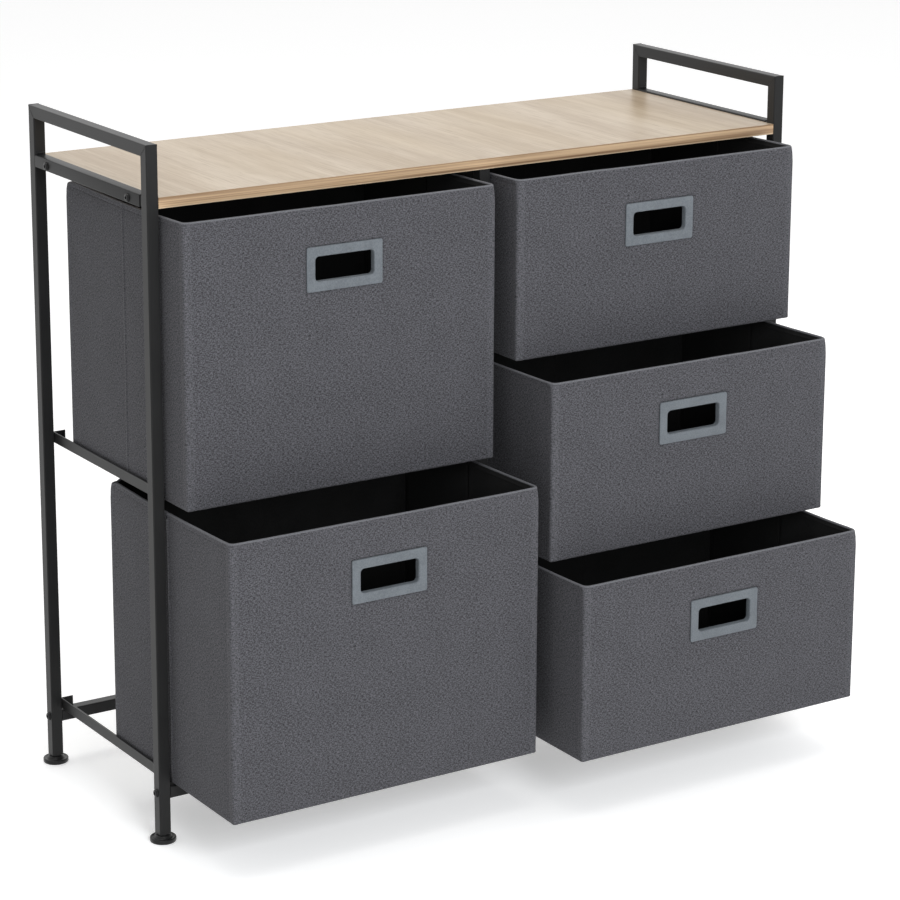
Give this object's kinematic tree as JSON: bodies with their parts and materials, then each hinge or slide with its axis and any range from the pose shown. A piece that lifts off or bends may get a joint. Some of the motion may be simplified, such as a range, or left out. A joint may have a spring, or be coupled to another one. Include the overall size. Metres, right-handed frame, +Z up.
{
  "type": "fabric drawer dresser",
  "caption": "Low dresser with a square-tube steel frame, carry loops at the sides, an oak-faced top and fabric bins with finger holes on angle runners.",
  "frame": {"origin": "on the floor, at the middle of the box around the dresser with its bins drawn out as at rest", "axes": "+X to the dresser's right as seen from the front, -Y out of the bin fronts, +Z up"},
  "size_m": [0.937, 0.5295, 0.852],
  "materials": {
    "black_powder_coat": "satin",
    "oak_board": "satin",
    "charcoal_fabric": "matte",
    "grey_board": "matte",
    "grey_plastic": "matte",
    "black_plastic": "matte",
    "black_screws": "satin",
    "zinc_steel": "satin"
  },
  "bodies": {
    "frame": {"left_front_post": "black_powder_coat", "left_rear_post": "black_powder_coat", "left_loop_rail": "black_powder_coat", "left_table_rail": "black_powder_coat", "right_front_post": "black_powder_coat", "right_rear_post": "black_powder_coat", "right_loop_rail": "black_powder_coat", "right_table_rail": "black_powder_coat", "divider_front_post": "black_powder_coat", "divider_rear_post": "black_powder_coat", "divider_top_tube": "black_powder_coat", "front_cross_bar": "black_powder_coat", "rear_cross_bar": "black_powder_coat", "left_frame_lower_runner": "black_powder_coat", "left_frame_upper_runner": "black_powder_coat", "divider_left_lower_runner": "black_powder_coat", "divider_left_upper_runner": "black_powder_coat", "divider_right_lower_runner": "black_powder_coat", "divider_right_middle_runner": "black_powder_coat", "divider_right_upper_runner": "black_powder_coat", "right_frame_lower_runner": "black_powder_coat", "right_frame_middle_runner": "black_powder_coat", "right_frame_upper_runner": "black_powder_coat", "top_panel": "oak_board", "panel_bolts": "black_screws", "cross_bar_bolts": "black_screws", "panel_barrel_nuts": "zinc_steel", "cross_bar_inserts": "black_plastic", "divider_panel_screws": "zinc_steel", "divider_foot_screws": "zinc_steel", "divider_post_plugs": "black_plastic", "foot_plugs": "black_plastic"},
    "upper_left_bin": {"upper_left_bin": "charcoal_fabric", "upper_left_base_board": "grey_board", "upper_left_handle_face": "grey_plastic", "upper_left_handle_backing": "grey_plastic"},
    "lower_left_bin": {"lower_left_bin": "charcoal_fabric", "lower_left_base_board": "grey_board", "lower_left_handle_face": "grey_plastic", "lower_left_handle_backing": "grey_plastic"},
    "upper_right_bin": {"upper_right_bin": "charcoal_fabric", "upper_right_base_board": "grey_board", "upper_right_handle_face": "grey_plastic", "upper_right_handle_backing": "grey_plastic"},
    "middle_right_bin": {"middle_right_bin": "charcoal_fabric", "middle_right_base_board": "grey_board", "middle_right_handle_face": "grey_plastic", "middle_right_handle_backing": "grey_plastic"},
    "lower_right_bin": {"lower_right_bin": "charcoal_fabric", "lower_right_base_board": "grey_board", "lower_right_handle_face": "grey_plastic", "lower_right_handle_backing": "grey_plastic"},
    "left_front_foot": {"left_front_foot": "black_plastic"},
    "right_front_foot": {"right_front_foot": "black_plastic"},
    "left_rear_foot": {"left_rear_foot": "black_plastic"},
    "right_rear_foot": {"right_rear_foot": "black_plastic"}
  },
  "joints": [
    {"name": "upper_left_bin_slide", "type": "slide", "parent": "frame", "child": "upper_left_bin", "axis": [0, -1, 0], "range_m": [-0.046, 0.19]},
    {"name": "lower_left_bin_slide", "type": "slide", "parent": "frame", "child": "lower_left_bin", "axis": [0, -1, 0], "range_m": [-0.146, 0.09]},
    {"name": "upper_right_bin_slide", "type": "slide", "parent": "frame", "child": "upper_right_bin", "axis": [0, -1, 0], "range_m": [-0.051, 0.185]},
    {"name": "middle_right_bin_slide", "type": "slide", "parent": "frame", "child": "middle_right_bin", "axis": [0, -1, 0], "range_m": [-0.13, 0.106]},
    {"name": "lower_right_bin_slide", "type": "slide", "parent": "frame", "child": "lower_right_bin", "axis": [0, -1, 0], "range_m": [-0.203, 0.033]},
    {"name": "left_front_foot_turn", "type": "hinge", "parent": "frame", "child": "left_front_foot", "pos_m": [-0.4525, -0.04825, 0], "axis": [0, 0, 1], "continuous": true},
    {"name": "right_front_foot_turn", "type": "hinge", "parent": "frame", "child": "right_front_foot", "pos_m": [0.4525, -0.04825, 0], "axis": [0, 0, 1], "continuous": true},
    {"name": "left_rear_foot_turn", "type": "hinge", "parent": "frame", "child": "left_rear_foot", "pos_m": [-0.4525, 0.24875, 0], "axis": [0, 0, 1], "continuous": true},
    {"name": "right_rear_foot_turn", "type": "hinge", "parent": "frame", "child": "right_rear_foot", "pos_m": [0.4525, 0.24875, 0], "axis": [0, 0, 1], "continuous": true}
  ]
}
